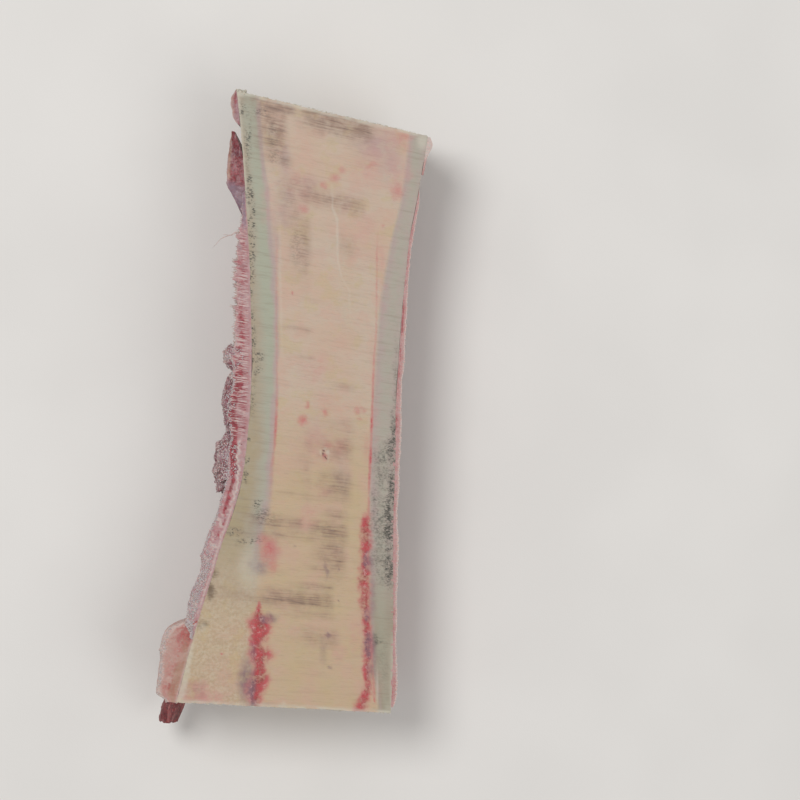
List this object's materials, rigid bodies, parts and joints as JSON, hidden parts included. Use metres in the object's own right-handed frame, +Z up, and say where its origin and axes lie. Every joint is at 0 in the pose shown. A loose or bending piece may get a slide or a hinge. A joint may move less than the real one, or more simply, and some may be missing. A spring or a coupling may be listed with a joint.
{
  "type": "beef marrow bone half",
  "caption": "Raw beef marrow bone half, sawn lengthwise, lying on its back: bone wall, marrow, spongy bone, meat and sinew left on the outside.",
  "frame": {"origin": "under the middle of the piece, on the surface that it lies on", "axes": "+Y along the bone to the narrow sawn end, +X across the sawn face, +Z up out of the sawn face"},
  "size_m": [0.0834, 0.1886, 0.029],
  "materials": {
    "compact_bone": "sawn and damp, satin",
    "spongy_bone": "coarse grain, sawn, dull",
    "marrow": "waxy fat, soft gloss, smeared by the saw",
    "meat": "raw meat and membrane, torn by the saw, damp",
    "fat": "fat with frost, rough",
    "ligament": "sawn pink gristle, damp",
    "muscle": "dark red meat, dried at the surface",
    "sinew": "thin silvery sinew over meat, damp",
    "membrane": "thin pink membrane, torn edge"
  },
  "bodies": {
    "root": {"compact_bone": "compact_bone", "spongy_bone": "spongy_bone", "marrow": "marrow", "meat_fringe": "meat", "fat_scrap_1": "fat", "fat_scrap_2": "fat", "fat_scrap_3": "fat", "ligament_pad": "ligament", "muscle_stub": "muscle", "sinew_flap": "sinew", "corner_membrane": "sinew", "right_membrane": "membrane", "corner_gristle": "fat", "back_meat": "muscle", "back_sinew": "sinew"}
  },
  "joints": []
}
